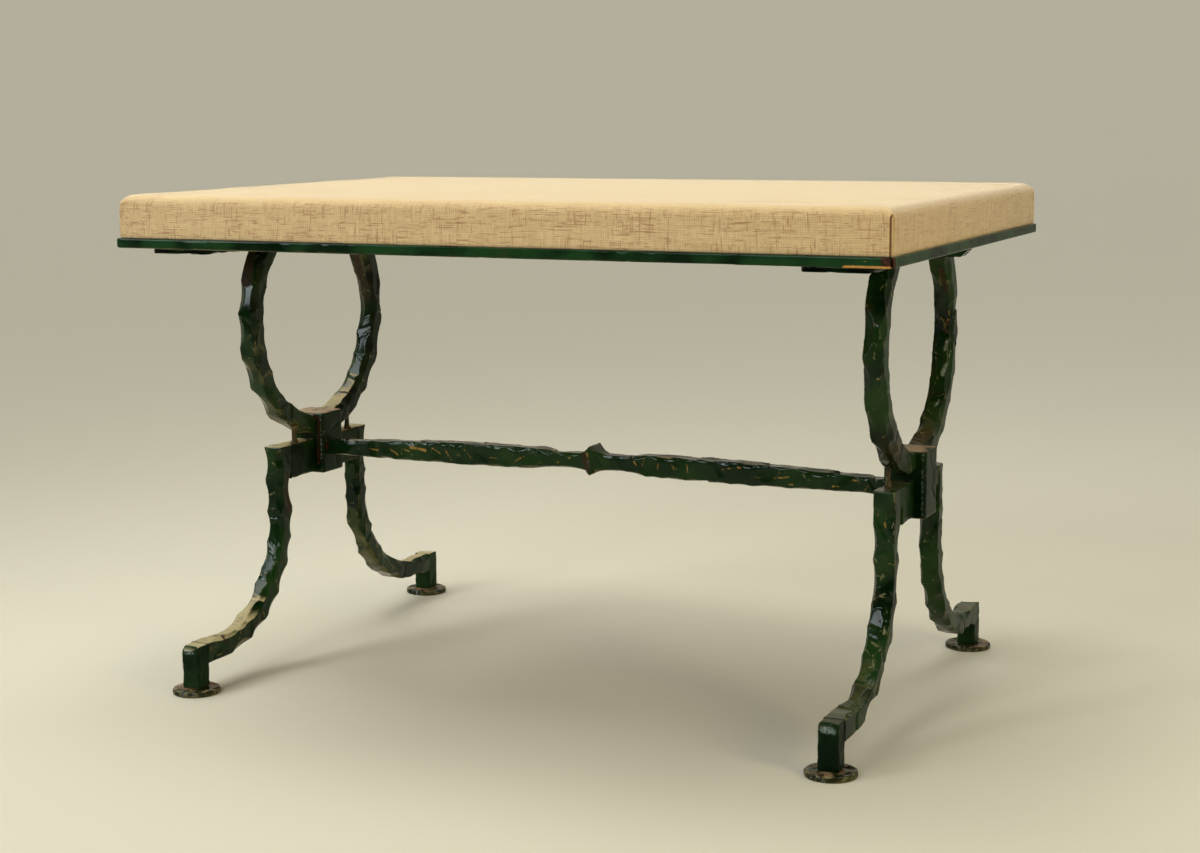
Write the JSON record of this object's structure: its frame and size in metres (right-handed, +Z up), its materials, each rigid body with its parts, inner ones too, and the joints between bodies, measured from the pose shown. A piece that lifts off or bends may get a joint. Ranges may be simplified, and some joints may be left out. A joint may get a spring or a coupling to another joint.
{
  "type": "wrought iron bench",
  "caption": "Low rectangular bench: hammered iron ring-and-leg end frames joined by a knotted stretcher, flat iron seat frame and a box-shaped linen pad.",
  "frame": {"origin": "on the floor, under the middle of the seat", "axes": "+X along the bench to its right end, +Y to its back, +Z up"},
  "size_m": [0.752, 0.508, 0.484],
  "materials": {
    "linen": "matte",
    "foam": "matte",
    "plywood": "matte",
    "green_iron": "gloss",
    "worn_iron": "satin",
    "steel": "satin"
  },
  "bodies": {
    "root": {"seat_cover": "linen", "seat_foam": "foam", "seat_board": "plywood", "cover_staples": "steel", "seat_screws": "steel", "frame_front": "green_iron", "frame_back": "green_iron", "frame_left": "green_iron", "frame_right": "green_iron", "strap_left": "green_iron", "strap_right": "green_iron", "hub_left": "green_iron", "hub_right": "green_iron", "stretcher": "green_iron", "ring_tacks": "green_iron", "rear_gussets": "green_iron", "ring_left_front": "green_iron", "lug_left_front": "green_iron", "leg_left_front": "green_iron", "post_left_front": "green_iron", "foot_left_front": "worn_iron", "ring_left_back": "green_iron", "lug_left_back": "green_iron", "leg_left_back": "green_iron", "post_left_back": "green_iron", "foot_left_back": "worn_iron", "ring_right_front": "green_iron", "lug_right_front": "green_iron", "leg_right_front": "green_iron", "post_right_front": "green_iron", "foot_right_front": "worn_iron", "ring_right_back": "green_iron", "lug_right_back": "green_iron", "leg_right_back": "green_iron", "post_right_back": "green_iron", "foot_right_back": "worn_iron"}
  },
  "joints": []
}
